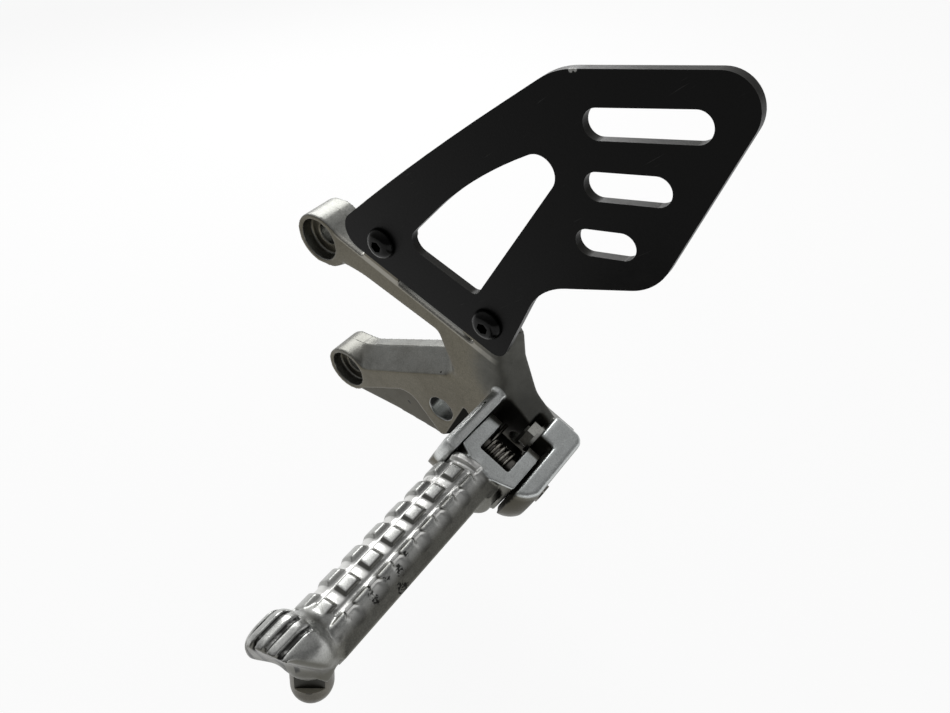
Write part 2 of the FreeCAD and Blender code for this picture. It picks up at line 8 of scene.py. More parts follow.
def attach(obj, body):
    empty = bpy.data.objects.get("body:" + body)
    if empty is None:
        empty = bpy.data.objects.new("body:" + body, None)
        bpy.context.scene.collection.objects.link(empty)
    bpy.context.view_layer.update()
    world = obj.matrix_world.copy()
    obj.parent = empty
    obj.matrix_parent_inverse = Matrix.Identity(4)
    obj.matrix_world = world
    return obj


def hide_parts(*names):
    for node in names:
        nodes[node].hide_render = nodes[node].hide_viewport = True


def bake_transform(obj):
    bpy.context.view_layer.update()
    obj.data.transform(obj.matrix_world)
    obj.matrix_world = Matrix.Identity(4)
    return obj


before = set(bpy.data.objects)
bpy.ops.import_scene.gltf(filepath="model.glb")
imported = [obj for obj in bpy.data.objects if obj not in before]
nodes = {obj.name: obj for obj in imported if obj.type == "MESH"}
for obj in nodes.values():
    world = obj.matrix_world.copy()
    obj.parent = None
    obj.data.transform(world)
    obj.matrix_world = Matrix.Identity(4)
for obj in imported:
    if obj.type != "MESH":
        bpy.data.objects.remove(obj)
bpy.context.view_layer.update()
scene = bpy.context.scene
scene.view_settings.view_transform = "Standard"
print("frame loaded:", len(nodes), "nodes")

# camera: place in metres, its right and down directions, lens in mm on a 36 mm sensor
cameraLook = {
    "place": (0.21101, -0.18194, 0.15900),
    "right": (0.8047, 0.5910, -0.0557),
    "down": (0.3543, -0.5535, -0.7538),
    "lens": 28.53,
}


def makeCamera(look):
    data = bpy.data.cameras.new("photoCamera")
    data.sensor_fit = "HORIZONTAL"
    data.sensor_width = 36.0
    data.lens = look["lens"]
    data.clip_start = 0.01
    camera = bpy.data.objects.new("photoCamera", data)
    scene.collection.objects.link(camera)
    right = Vector(look["right"]).normalized()
    back = right.cross(-Vector(look["down"])).normalized()
    up = back.cross(right)
    turn = Matrix((right, up, back)).transposed().to_4x4()
    camera.matrix_world = Matrix.Translation(look["place"]) @ turn
    scene.camera = camera


makeCamera(cameraLook)
print("camera placed")

# the hinge line dips to the rear; p runs along it and q square to it, upwards
hingeTilt = math.radians(27.5)
armTilt = math.radians(22.6)  # slope of the upper arm
pegAxis = (0.09471, 0.0, -0.05270)  # middle of the tread
grooveAxis = (0.09513, 0.0, -0.05452)  # middle of the cross grooves
lipAxis = (0.09471, 0.0, -0.04670)  # middle of the end lip
rowPitch = 0.01057  # from one row of pads to the next


def hingeToRow(p, y, q):
    c = math.cos(hingeTilt)
    s = math.sin(hingeTilt)
    return Vector((p * c + q * s, y, -p * s + q * c))


# node helpers
def setInputs(tree, node, values):
    for key, value in values.items():
        if isinstance(value, bpy.types.NodeSocket):
            tree.links.new(value, node.inputs[key])
        else:
            node.inputs[key].default_value = value


def addNode(tree, kind, values=None, **settings):
    n = tree.nodes.new(kind)
    for name, value in settings.items():
        setattr(n, name, value)
    setInputs(tree, n, values or {})
    return n


def mathOf(tree, operation, a, b=0.0, c=0.0):
    return addNode(tree, "ShaderNodeMath", {0: a, 1: b, 2: c}, operation=operation).outputs[0]


def times(tree, product, *others):
    for other in others:
        product = mathOf(tree, "MULTIPLY", product, other)
    return product


def vectorOf(tree, operation, a, b=(0, 0, 0)):
    return addNode(tree, "ShaderNodeVectorMath", {0: a, 1: b}, operation=operation).outputs["Vector"]


def measureOf(tree, operation, a, b=(0, 0, 0)):
    return addNode(tree, "ShaderNodeVectorMath", {0: a, 1: b}, operation=operation).outputs["Value"]


def dotOf(tree, a, b):
    return measureOf(tree, "DOT_PRODUCT", a, b)


def lengthOf(tree, vector):
    return measureOf(tree, "LENGTH", vector)


# from an axis along Y straight out to a place
def outFrom(tree, at, axis):
    return vectorOf(tree, "MULTIPLY", vectorOf(tree, "SUBTRACT", at, axis), (1, 0, 1))


def partsOf(tree, vector):
    return addNode(tree, "ShaderNodeSeparateXYZ", {0: vector}).outputs


def normalOf(tree):
    return addNode(tree, "ShaderNodeTexCoord").outputs["Normal"]


# 0 midway between two repeats and 0.5 on each
def offMiddle(tree, value, start, pitch):
    phase = mathOf(tree, "DIVIDE", mathOf(tree, "SUBTRACT", value, start), pitch)
    phase = mathOf(tree, "FLOORED_MODULO", phase, 1.0)
    return mathOf(tree, "ABSOLUTE", mathOf(tree, "SUBTRACT", phase, 0.5))


# the mix node has values at inputs 2 and 3 and colours at 6 and 7
def mixColour(tree, factor, a, b, blend="MIX"):
    n = addNode(tree, "ShaderNodeMix", {0: factor, 6: a, 7: b}, data_type="RGBA", blend_type=blend)
    return n.outputs[2]


def tinted(tree, colour, tint):
    return mixColour(tree, 1.0, colour, tint, "MULTIPLY")


def mixValue(tree, factor, a, b):
    return addNode(tree, "ShaderNodeMix", {0: factor, 2: a, 3: b}).outputs[0]


# colours laid over one another: mask, how much of it, colour
def layUp(tree, colour, layers):
    for mask, share, over in layers:
        colour = mixColour(tree, mask if share == 1.0 else times(tree, mask, share), colour, over)
    return colour


def ramp(tree, value, low, high, toLow=0.0, toHigh=1.0, smooth=True):
    n = addNode(tree, "ShaderNodeMapRange", {0: value, 1: low, 2: high, 3: toLow, 4: toHigh})
    n.interpolation_type = "SMOOTHSTEP" if smooth else "LINEAR"
    return n.outputs[0]


def noiseOf(tree, vector, scale, detail=4.0, rough=0.55, twist=0.0):
    n = addNode(tree, "ShaderNodeTexNoise", {"Vector": vector, "Scale": scale, "Detail": detail,
                                             "Roughness": rough, "Distortion": twist})
    return n.outputs["Fac"]


def mapped(tree, vector, scale=(1, 1, 1), rotation=(0, 0, 0)):
    n = addNode(tree, "ShaderNodeMapping", {"Vector": vector, "Scale": scale, "Rotation": rotation})
    return n.outputs[0]


socketKinds = {"value": "NodeSocketFloat", "colour": "NodeSocketColor", "vector": "NodeSocketVector"}


def startGroup(name, takes, gives):
    group = bpy.data.node_groups.new(name, "ShaderNodeTree")
    for label, kind, value in takes:
        s = group.interface.new_socket(label, in_out="INPUT", socket_type=socketKinds[kind])
        s.default_value = value
    for label, kind in gives:
        group.interface.new_socket(label, in_out="OUTPUT", socket_type=socketKinds[kind])
    return group, group.nodes.new("NodeGroupInput").outputs, group.nodes.new("NodeGroupOutput").inputs


def useGroup(tree, group, values):
    n = tree.nodes.new("ShaderNodeGroup")
    n.node_tree = group
    setInputs(tree, n, values)
    return n.outputs


# soft ball of a mark at one place, its rim broken up by noise
def buildSpot():
    g, i, o = startGroup("softSpot", [("Vector", "vector", (0, 0, 0)), ("Centre", "vector", (0, 0, 0)),
                                      ("Radius", "value", 0.003), ("Ragged", "value", 0.5)], [("Mask", "value")])
    share = mathOf(g, "DIVIDE", measureOf(g, "DISTANCE", i["Vector"], i["Centre"]), i["Radius"])
    rag = mathOf(g, "SUBTRACT", noiseOf(g, i["Vector"], 900.0, 3.0), 0.5)
    share = mathOf(g, "MULTIPLY_ADD", rag, times(g, i["Ragged"], 2.0), share)
    g.links.new(ramp(g, share, 0.6, 1.0, 1.0, 0.0), o["Mask"])
    return g


# soft-edged box between two corners
def buildZone():
    g, i, o = startGroup("softZone", [("Vector", "vector", (0, 0, 0)), ("Low", "vector", (0, 0, 0)),
                                      ("High", "vector", (1, 1, 1)), ("Soft", "vector", (0.001, 0.001, 0.001))],
                         [("Mask", "value")])
    under = vectorOf(g, "SUBTRACT", i["Low"], i["Soft"])
    over = vectorOf(g, "ADD", i["High"], i["Soft"])
    # map range for vectors: from inputs 7 and 8 to inputs 9 and 10
    rise = addNode(g, "ShaderNodeMapRange", {"Vector": i["Vector"], 7: under, 8: i["Low"]},
                   data_type="FLOAT_VECTOR")
    fall = addNode(g, "ShaderNodeMapRange", {"Vector": i["Vector"], 7: i["High"], 8: over,
                                             9: (1, 1, 1), 10: (0, 0, 0)}, data_type="FLOAT_VECTOR")
    both = vectorOf(g, "MULTIPLY", rise.outputs["Vector"], fall.outputs["Vector"])
    g.links.new(times(g, *partsOf(g, both)), o["Mask"])
    return g


# casting skin: fine blast grain, mottling and stains
def buildCastSkin():
    g, i, o = startGroup("castSkin", [("Vector", "vector", (0, 0, 0)), ("Clean", "colour", (0.3, 0.29, 0.26, 1)),
                                      ("Stain", "colour", (0.2, 0.18, 0.15, 1)), ("Amount", "value", 0.6)],
                         [("Colour", "colour"), ("Tint", "colour"), ("Rough", "value"), ("Height", "value")])
    grain = noiseOf(g, i["Vector"], 1900.0, 2.0, 0.6)
    mottle = noiseOf(g, i["Vector"], 210.0, 5.0, 0.62, 0.4)
    cloud = noiseOf(g, i["Vector"], 42.0, 4.0, 0.6, 0.7)
    stain = times(g, ramp(g, cloud, 0.42, 0.68), i["Amount"])
    colour = mixColour(g, stain, i["Clean"], i["Stain"])
    shade = ramp(g, mottle, 0.25, 0.75, 0.86, 1.13, smooth=False)
    both = times(g, shade, ramp(g, grain, 0.3, 0.7, 0.84, 1.16, smooth=False))
    grey = addNode(g, "ShaderNodeCombineColor", {0: both, 1: both, 2: both}).outputs[0]
    g.links.new(tinted(g, colour, grey), o["Colour"])
    g.links.new(grey, o["Tint"])
    g.links.new(ramp(g, mottle, 0.3, 0.7, -0.06, 0.06, smooth=False), o["Rough"])
    g.links.new(mathOf(g, "MULTIPLY_ADD", mottle, 0.55, times(g, grain, 0.45)), o["Height"])
    return g


# edges that stand out and creases, from the mesh's own curvature; the edges carry painted highlights, the creases
# painted shade
def buildEdges():
    g, i, o = startGroup("edgesAndCreases", [("Vector", "vector", (0, 0, 0)), ("Low", "value", 0.52),
                                             ("High", "value", 0.58)], [("Edge", "value"), ("Crease", "value")])
    point = addNode(g, "ShaderNodeNewGeometry").outputs["Pointiness"]
    rag = mathOf(g, "MULTIPLY_ADD", noiseOf(g, i["Vector"], 420.0, 4.0), 0.04, -0.02)
    point = mathOf(g, "ADD", point, rag)
    g.links.new(ramp(g, point, i["Low"], i["High"]), o["Edge"])
    low, high = (mathOf(g, "SUBTRACT", 0.99, i[end]) for end in ("High", "Low"))
    g.links.new(ramp(g, point, low, high, 1.0, 0.0), o["Crease"])
    return g


# hairline scratches along one direction, in patches
def buildScratches():
    g, i, o = startGroup("hairlines", [("Vector", "vector", (0, 0, 0)), ("Turn", "vector", (0, 0, 0)),
                                       ("Thin", "value", 0.66), ("Patch", "value", 0.5)], [("Mask", "value")])
    turned = mapped(g, i["Vector"], rotation=i["Turn"])
    line = noiseOf(g, mapped(g, turned, (60, 2600, 2600)), 1.0, 2.0, 0.5)
    line = ramp(g, line, i["Thin"], mathOf(g, "ADD", i["Thin"], 0.05))
    patch = ramp(g, noiseOf(g, i["Vector"], 95.0, 2.0), i["Patch"], mathOf(g, "ADD", i["Patch"], 0.12))
    g.links.new(times(g, line, patch), o["Mask"])
    return g


softSpot = buildSpot()
softZone = buildZone()
castSkin = buildCastSkin()
edgesAndCreases = buildEdges()
hairlines = buildScratches()
print("shader groups built")


def startMaterial(name, metallic):
    m = bpy.data.materials.new(name)
    m.use_nodes = True
    shader = m.node_tree.nodes["Principled BSDF"]
    shader.inputs["Metallic"].default_value = metallic
    at = addNode(m.node_tree, "ShaderNodeTexCoord").outputs["Object"]
    return m, m.node_tree, shader, at


def bumpInto(tree, shader, height, strength, distance):
    b = addNode(tree, "ShaderNodeBump", {"Height": height, "Strength": strength, "Distance": distance})
    tree.links.new(b.outputs[0], shader.inputs["Normal"])


def spotsOf(tree, at, spots, ragged=0.45):
    mask = None
    for centre, radius in spots:
        m = useGroup(tree, softSpot, {"Vector": at, "Centre": centre, "Radius": radius, "Ragged": ragged})["Mask"]
        mask = m if mask is None else mathOf(tree, "MAXIMUM", mask, m)
    return mask


# a zone is its low corner, its high corner and the softness of its sides
def zoneOf(tree, vector, zone):
    low, high, soft = zone
    return useGroup(tree, softZone, {"Vector": vector, "Low": low, "High": high, "Soft": soft})["Mask"]


def scratchesOf(tree, at, scratches):
    turn, thin, patch = scratches
    return useGroup(tree, hairlines, {"Vector": at, "Turn": turn, "Thin": thin, "Patch": patch})["Mask"]


# hanger casting: lacquered alloy, machined ear tops, painted shade inside the clevis, on outboard faces, in
# creases, on the rib and the neck, painted highlights on edges and the left ear
hangerLook = {
    "clean": (0.235, 0.237, 0.222, 1),
    "stain": (0.165, 0.163, 0.147, 1),
    # browner, darker colours for the faces that look outboard, a painted shade
    "face": (0.128, 0.118, 0.091, 1),
    "shadedFaceStain": (0.088, 0.079, 0.058, 1),
    "machined": (0.54, 0.56, 0.555, 1),
    # the left ear's top is painted lighter than the right's, a painted highlight
    "earLeft": (0.64, 0.655, 0.645, 1),
    # colour of the painted shade on the rib
    "rib": (0.070, 0.066, 0.054, 1),
    # colour of the painted shade over the neck
    "neck": (0.150, 0.150, 0.137, 1),
    "clevisShade": (0.050, 0.048, 0.042, 1),
    "deep": (0.010, 0.010, 0.008, 1),
    # colour of the painted highlights on edges
    "edge": (0.58, 0.56, 0.51, 1),
    "line": (0.035, 0.034, 0.030, 1),
    "rough": 0.40,
    "roughNeck": 0.66,
    "roughTops": 0.36,
    "roughGap": 0.62,
    "roughShaded": 0.95,
    "amount": 0.55,  # how much of it is stained
    "bump": (0.30, 0.0004),  # strength and depth of the grain
    "outboard": (0, -1, -0.5),  # way that the faces with painted shade look
    "shadedSide": (0.89, 0, -0.45),  # way that the lever lug's dark side looks
    "leverHole": (0.0556, 0, -0.0655),
    "bush": (0.0061, 0.0064),  # radius at which the lever hole's bare metal ends
    "lineDepth": 0.0063,  # parting line: how far outboard, its waver, its width and where along X it ends
    "lineWaver": 0.0009,
    "lineWidth": (0.00008, 0.00022),
    "lineEnd": (0.050, 0.060),
    "neckShadeSpot": ((0.096, -0.010, -0.030), 0.026),
    "bossSpot": ((0.0, -0.008, -0.0590), 0.013),
    "pits": [((0.08674, -0.02494, -0.03714), 0.0006), ((0.00422, -0.00239, 0.01036), 0.0005),
             ((0.05728, -0.01501, -0.04415), 0.0006), ((0.03151, -0.0105, -0.07804), 0.0009),
             ((0.03210, -0.0105, -0.07860), 0.0007)],
    # zones along the hinge
    "hingeZones": {
        "earLeft": ((0.0925, -0.060, 0.0000), (0.0980, -0.0172, 0.0085), (0.001, 0.0006, 0.003)),
        "earRight": ((0.1176, -0.060, 0.0066), (0.1330, -0.005, 0.0085), (0.0006, 0.001, 0.0006)),
        "earEnd": ((0.1243, -0.060, -0.030), (0.140, -0.0400, 0.0045), (0.0006, 0.003, 0.0016)),
        "gap": ((0.0982, -0.060, -0.040), (0.1243, -0.0157, 0.0052), (0.0006, 0.0006, 0.0016)),
        "trench": ((0.1115, -0.020, -0.020), (0.1176, -0.0090, 0.0025), (0.0004, 0.0006, 0.0035)),
        "root": ((0.1180, -0.0196, -0.030), (0.1240, -0.0182, 0.0056), (0.0006, 0.0003, 0.0016)),
    },
    "lug": ((0.050, -0.0150, -0.090), (0.078, 0.002, -0.050), (0.002, 0.0005, 0.002)),
    "ribZone": ((-0.020, -0.0118, -0.100), (0.060, -0.0085, -0.0705), (0.001, 0.0008, 0.001)),
    "armTopHighlight": ((0.010, -0.0170, 0.0091), (0.086, -0.0148, 0.0110), (0.004, 0.0006, 0.0006)),
}


def hangerMaterial(look):
    m, t, shader, at = startMaterial("castAlloy", 1.0)
    hinge = mapped(t, at, rotation=(0, -hingeTilt, 0))
    normal = normalOf(t)
    # faces looking outboard get a painted shade: their clean and stained colours turn browner and darker
    facing = ramp(t, dotOf(t, normal, look["outboard"]), 0.22, 0.80)
    clean = mixColour(t, facing, look["clean"], look["face"])
    stain = mixColour(t, facing, look["stain"], look["shadedFaceStain"])
    skin = useGroup(t, castSkin, {"Vector": at, "Clean": clean, "Stain": stain, "Amount": look["amount"]})
    edge = useGroup(t, edgesAndCreases, {"Vector": at, "Low": 0.53, "High": 0.60})
    zone = {name: zoneOf(t, hinge, corners) for name, corners in look["hingeZones"].items()}
    # bare metal on both ears and in the lever hole
    bush = ramp(t, lengthOf(t, outFrom(t, at, look["leverHole"])), *look["bush"], 0.55, 0.0)
    tops = mathOf(t, "MAXIMUM", mathOf(t, "MAXIMUM", zone["earLeft"], zone["earRight"]), bush)
    # painted shade inside the clevis and its trench, less of it on the root block
    gap = mathOf(t, "MAXIMUM", zone["gap"], times(t, zone["trench"], 0.8))
    gap = mathOf(t, "SUBTRACT", gap, times(t, zone["root"], 0.25))
    # shaded side of the lever lug, close beside the left ear
    shaded = times(t, ramp(t, dotOf(t, normal, look["shadedSide"]), 0.6, 0.85), zoneOf(t, at, look["lug"]))
    # painted shade over the hanger's neck
    neck = spotsOf(t, at, [look["neckShadeSpot"]], ragged=0.1)
    # the lower boss is painted darker with the stain colour
    boss = spotsOf(t, at, [look["bossSpot"]], ragged=0.2)
    # parting line round the bosses and arms
    x, y = partsOf(t, at)[:2]
    waver = mathOf(t, "MULTIPLY_ADD", noiseOf(t, at, 160.0, 3.0), look["lineWaver"], look["lineDepth"])
    line = ramp(t, mathOf(t, "ABSOLUTE", mathOf(t, "ADD", y, waver)), *look["lineWidth"], 1.0, 0.0)
    broken = ramp(t, noiseOf(t, at, 90.0, 2.0), 0.44, 0.56)
    line = times(t, line, broken, ramp(t, x, *look["lineEnd"], 1.0, 0.0), 0.75)
    pits = mathOf(t, "MAXIMUM", spotsOf(t, at, look["pits"], ragged=0.25), line)
    # painted shade on the rib behind the lower arm; the end of the right ear is painted dark as well
    rib = times(t, zoneOf(t, at, look["ribZone"]), facing, 0.8)
    dull = mathOf(t, "MAXIMUM", rib, times(t, zone["earEnd"], 0.85))
    # painted highlight along the upper arm's top edge
    armTopHighlight = zoneOf(t, mapped(t, at, rotation=(0, -armTilt, 0)), look["armTopHighlight"])
    # painted highlight on edges that look up
    edgeHighlight = times(t, edge["Edge"], ramp(t, partsOf(t, normal)[2], -0.25, 0.15))
    machined = tinted(t, look["machined"], skin["Tint"])
    # lighter colour for the left ear's top, a painted highlight
    earLeft = tinted(t, look["earLeft"], skin["Tint"])
    # creases get a painted shade in the shaded stain colour
    colour = layUp(t, skin["Colour"], [
        (neck, 0.85, look["neck"]), (dull, 1.0, look["rib"]), (boss, 0.7, look["stain"]),
        (tops, 1.0, machined), (zone["earLeft"], 1.0, earLeft),
        (armTopHighlight, 0.35, look["edge"]), (edgeHighlight, 0.40, look["edge"]), (edge["Crease"], 0.30, look["shadedFaceStain"]),
        (gap, 0.93, look["clevisShade"]), (shaded, 0.95, look["deep"]), (pits, 1.0, look["line"])])
    t.links.new(colour, shader.inputs["Base Color"])
    rough = mathOf(t, "ADD", skin["Rough"], look["rough"])
    rough = mixValue(t, neck, rough, mathOf(t, "ADD", skin["Rough"], look["roughNeck"]))
    rough = mixValue(t, tops, rough, mathOf(t, "ADD", skin["Rough"], look["roughTops"]))
    rough = mixValue(t, gap, rough, look["roughGap"])
    t.links.new(mixValue(t, shaded, rough, look["roughShaded"]), shader.inputs["Roughness"])
    height = mathOf(t, "MULTIPLY_ADD", pits, -0.8, skin["Height"])
    bumpInto(t, shader, height, *look["bump"])
    return m


# foot peg: pads polished by boots and painted lighter towards the light, dull rear side with black scuffs;
# painted shade on the pad walls, the lip's front and in the spring pocket, painted highlights in the valleys and
# on edges
pegLook = {
    "polishedLit": (0.46, 0.465, 0.450, 1),
    "litValley": (0.74, 0.74, 0.72, 1),
    "wallShade": (0.130, 0.128, 0.115, 1),
    "dull": (0.165, 0.163, 0.145, 1),
    "lipFrontShade": (0.105, 0.102, 0.086, 1),
    "stain": (0.12, 0.117, 0.10, 1),
    "dirtAndShade": (0.012, 0.012, 0.011, 1),
    "machined": (0.56, 0.58, 0.575, 1),
    "roughPad": 0.33,
    "roughDull": 0.42,
    "roughFork": 0.36,
    "amount": 0.6,
    "bump": (0.2, 0.0004),
    "bootsAndLight": (-0.37, 0, 0.93),  # side that boots have polished, which is also painted lighter
    "ahead": (0.35, -0.92, -0.30),  # way that the lip's front looks
    "firstRow": -0.0556,
    "ribPitch": 0.0045,
    "grooveDepth": (0.01258, 0.01285),  # distance from the groove axis, floor of a valley to pad
    "lipDepth": (0.0130, 0.0134),  # distance from the lip axis, floor of a groove to rib
    "longGroove": 0.35,  # how bright the long grooves are beside the cross grooves
    "outerWall": 0.40,  # how dark the outer row's walls are beside the others
    # places along Y where something fades in or out
    "polishFrom": (-0.0450, -0.0490),
    "treadFrom": (-0.0475, -0.0500),
    "treadTo": (-0.1250, -0.1225),
    "wallFrom": (-0.0506, -0.0516),
    "collarFrom": (-0.0462, -0.0470),
    "collarTo": (-0.0506, -0.0498),
    "lipFrom": (-0.1262, -0.1268),
    "frontFrom": (-0.1240, -0.1270),
    "lipRear": (0.1022, 0.1016),  # along X
    "scratches": ((0, 0, 0.6), 0.63, 0.48),
    "scuffs": [((0.10184, -0.08941, -0.04339), 0.0012), ((0.10308, -0.09414, -0.04526), 0.0022),
               ((0.10212, -0.09895, -0.04381), 0.0015), ((0.10231, -0.10615, -0.04410), 0.0018),
               ((0.10090, -0.10521, -0.04277), 0.0013), ((0.10352, -0.10605, -0.04592), 0.0018),
               ((0.10632, -0.09639, -0.05015), 0.0024), ((0.10533, -0.09691, -0.04866), 0.0018),
               ((0.10575, -0.13237, -0.03895), 0.0006)],
    # zones along the hinge
    "forkTop": ((0.097, -0.0478, 0.0068), (0.124, -0.010, 0.0082), (0.001, 0.0004, 0.0004)),
    "pocket": ((0.1043, -0.0406, -0.0118), (0.1174, -0.010, 0.0056), (0.0006, 0.0006, 0.0008)),
}


def pegMaterial(look):
    m, t, shader, at = startMaterial("pegAlloy", 1.0)
    hinge = mapped(t, at, rotation=(0, -hingeTilt, 0))
    skin = useGroup(t, castSkin, {"Vector": at, "Clean": look["dull"], "Stain": look["stain"],
                                  "Amount": look["amount"]})
    edge = useGroup(t, edgesAndCreases, {"Vector": at, "Low": 0.53, "High": 0.60})
    out = vectorOf(t, "NORMALIZE", outFrom(t, at, pegAxis))
    facing = dotOf(t, out, look["bootsAndLight"])
    x, y = partsOf(t, at)[:2]
    # the side towards the light, polished by boots, is painted lighter as well, a painted highlight
    top = times(t, ramp(t, facing, 0.12, 0.62), ramp(t, y, *look["polishFrom"]))
    forkTop = zoneOf(t, hinge, look["forkTop"])
    # painted shade in the spring pocket
    pocket = zoneOf(t, hinge, look["pocket"])
    # sloping sides of the pads get a painted shade; their tops and the valleys get painted highlights
    normal = normalOf(t)
    tread = times(t, ramp(t, y, *look["treadFrom"]), ramp(t, y, *look["treadTo"]))
    raised = ramp(t, lengthOf(t, outFrom(t, at, grooveAxis)), *look["grooveDepth"])
    sloping = ramp(t, dotOf(t, normal, out), 0.74, 0.94, 1.0, 0.0)
    wallShade = times(t, sloping, tread, ramp(t, facing, 0.1, 0.3), raised)
    # the outer row's walls catch the light, and so does the collar above the first row
    outer = ramp(t, partsOf(t, out)[0], -0.37, -0.30, look["outerWall"], 1.0)
    wallShade = times(t, wallShade, outer, ramp(t, y, *look["wallFrom"]))
    cross = ramp(t, offMiddle(t, y, look["firstRow"], rowPitch), 0.17, 0.27, 1.0, look["longGroove"])
    litValley = times(t, mathOf(t, "SUBTRACT", 1.0, raised), top, tread, cross)
    collar = times(t, ramp(t, y, *look["collarFrom"]), ramp(t, y, *look["collarTo"]), ramp(t, facing, 0.50, 0.62))
    litValley = mathOf(t, "MAXIMUM", litValley, collar)
    # grooves of the end lip are painted black
    between = offMiddle(t, x, lipAxis[0] - 0.5 * look["ribPitch"], look["ribPitch"])
    sunk = ramp(t, lengthOf(t, outFrom(t, at, lipAxis)), *look["lipDepth"], 1.0, 0.0)
    groove = times(t, ramp(t, between, 0.15, 0.21, 1.0, 0.0), sunk, ramp(t, facing, 0.3, 0.5),
                   ramp(t, noiseOf(t, at, 300.0, 3.0), 0.30, 0.52),
                   ramp(t, y, *look["lipFrom"]), ramp(t, x, *look["lipRear"]))
    streak = noiseOf(t, mapped(t, at, (1000, 560, 1000), (0.5, 0.3, 0.7)), 1.0, 3.0, 0.6, 0.8)
    scuff = times(t, spotsOf(t, at, look["scuffs"], ragged=0.9), ramp(t, streak, 0.43, 0.49))
    lines = scratchesOf(t, at, look["scratches"])
    # painted shade on the lip's front face
    front = times(t, ramp(t, dotOf(t, normal, look["ahead"]), 0.15, 0.60), ramp(t, y, *look["frontFrom"]))
    polishedLit = tinted(t, look["polishedLit"], skin["Tint"])
    machined = tinted(t, look["machined"], skin["Tint"])
    # edges are painted lighter, a painted highlight
    colour = layUp(t, skin["Colour"], [
        (top, 1.0, polishedLit), (litValley, 1.0, look["litValley"]), (wallShade, 0.88, look["wallShade"]),
        (edge["Edge"], 0.5, look["polishedLit"]), (front, 0.9, look["lipFrontShade"]), (forkTop, 1.0, machined),
        (lines, 0.35, look["stain"]), (pocket, 0.93, look["dirtAndShade"]),
        (mathOf(t, "MAXIMUM", groove, scuff), 0.92, look["dirtAndShade"])])
    t.links.new(colour, shader.inputs["Base Color"])
    rough = mathOf(t, "ADD", skin["Rough"], look["roughDull"])
    rough = mixValue(t, top, rough, mathOf(t, "MULTIPLY_ADD", skin["Rough"], 0.8, look["roughPad"]))
    rough = mixValue(t, forkTop, rough, mathOf(t, "ADD", skin["Rough"], look["roughFork"]))
    t.links.new(rough, shader.inputs["Roughness"])
    height = mixValue(t, top, skin["Height"], times(t, skin["Height"], 0.4))
    bumpInto(t, shader, height, *look["bump"])
    return m


# heel guard: satin black coat with a light orange peel, dust and a rubbed corner; painted highlights on its front
# rim and its upward sides
guardLook = {
    "coat": (0.0020, 0.0020, 0.0019, 1),
    "dust": (0.0062, 0.0060, 0.0056, 1),
    "rimHighlight": (0.050, 0.050, 0.048, 1),
    "side": (0.045, 0.044, 0.041, 1),
    "bare": (0.45, 0.45, 0.43, 1),
    "rough": 0.32,
    "shine": 0.085,
    "bump": (0.10, 0.0003),
    "rimFrom": (-0.01899, -0.01885),  # along Y
    "rimTo": (-0.0186, -0.0183),
    "scratches": ((0, 0.7, 0), 0.68, 0.52),
    "chips": [((0.1159, -0.0190, 0.08905), 0.0009), ((0.1172, -0.0190, 0.08930), 0.0007)],
}


def guardMaterial(look):
    m, t, shader, at = startMaterial("blackCoat", 0.0)
    shader.inputs["Specular IOR Level"].default_value = look["shine"]
    y = partsOf(t, at)[1]
    # painted highlight along the plate's front rim, broken up by noise
    rimHighlight = times(t, ramp(t, y, *look["rimFrom"]), ramp(t, y, *look["rimTo"], 1.0, 0.0))
    rimBreakup = ramp(t, noiseOf(t, at, 75.0, 5.0, 0.65), 0.40, 0.68)
    dust = ramp(t, noiseOf(t, at, 130.0, 6.0, 0.7, 0.6), 0.45, 0.8)
    lines = scratchesOf(t, at, look["scratches"])
    # sides that look up are painted lighter, a painted highlight
    ny, nz = partsOf(t, normalOf(t))[1:]
    side = times(t, ramp(t, mathOf(t, "ABSOLUTE", ny), 0.3, 0.6, 1.0, 0.0), ramp(t, nz, 0.1, 0.5))
    colour = layUp(t, look["coat"], [
        (dust, 0.5, look["dust"]), (times(t, rimHighlight, rimBreakup), 1.0, look["rimHighlight"]), (lines, 0.06, look["bare"]),
        (side, 0.8, look["side"]), (spotsOf(t, at, look["chips"]), 1.0, look["bare"])])
    t.links.new(colour, shader.inputs["Base Color"])
    rough = mathOf(t, "MULTIPLY_ADD", dust, 0.14, look["rough"])
    t.links.new(rough, shader.inputs["Roughness"])
    bumpInto(t, shader, noiseOf(t, at, 1500.0, 2.0, 0.5), *look["bump"])
    return m


# small steel parts share one recipe; the feeler also has dark spanner flats and a ledge painted pale, a painted
# highlight
steelLooks = {
    "feelerSteel": {"clean": (0.13, 0.122, 0.102, 1), "stain": (0.05, 0.047, 0.040, 1),
                    "rough": 0.40, "amount": 0.7,
                    "flats": (0.629, -0.758, 0.171), "up": (0.0, 0.220, 0.9755), "flatsFrom": (-0.0915, -0.0912),
                    "flatColour": (0.035, 0.034, 0.030, 1), "ledgeHighlight": (0.34, 0.32, 0.26, 1)},
    "pinSteel": {"clean": (0.30, 0.29, 0.27, 1), "stain": (0.11, 0.10, 0.085, 1),
                 "rough": 0.38, "amount": 0.7},
    "springSteel": {"clean": (0.46, 0.44, 0.40, 1), "stain": (0.16, 0.148, 0.125, 1),
                    "rough": 0.20, "amount": 0.7},
    "boltZinc": {"clean": (0.52, 0.52, 0.49, 1), "stain": (0.30, 0.27, 0.21, 1),
                 "rough": 0.30, "amount": 0.5},
    "blackScrew": {"clean": (0.013, 0.013, 0.013, 1), "stain": (0.008, 0.008, 0.007, 1),
                   "rough": 0.20, "amount": 0.5},
}
steelScratches = ((0.4, 0.2, 0), 0.62, 0.45)
steelBump = (0.12, 0.0003)


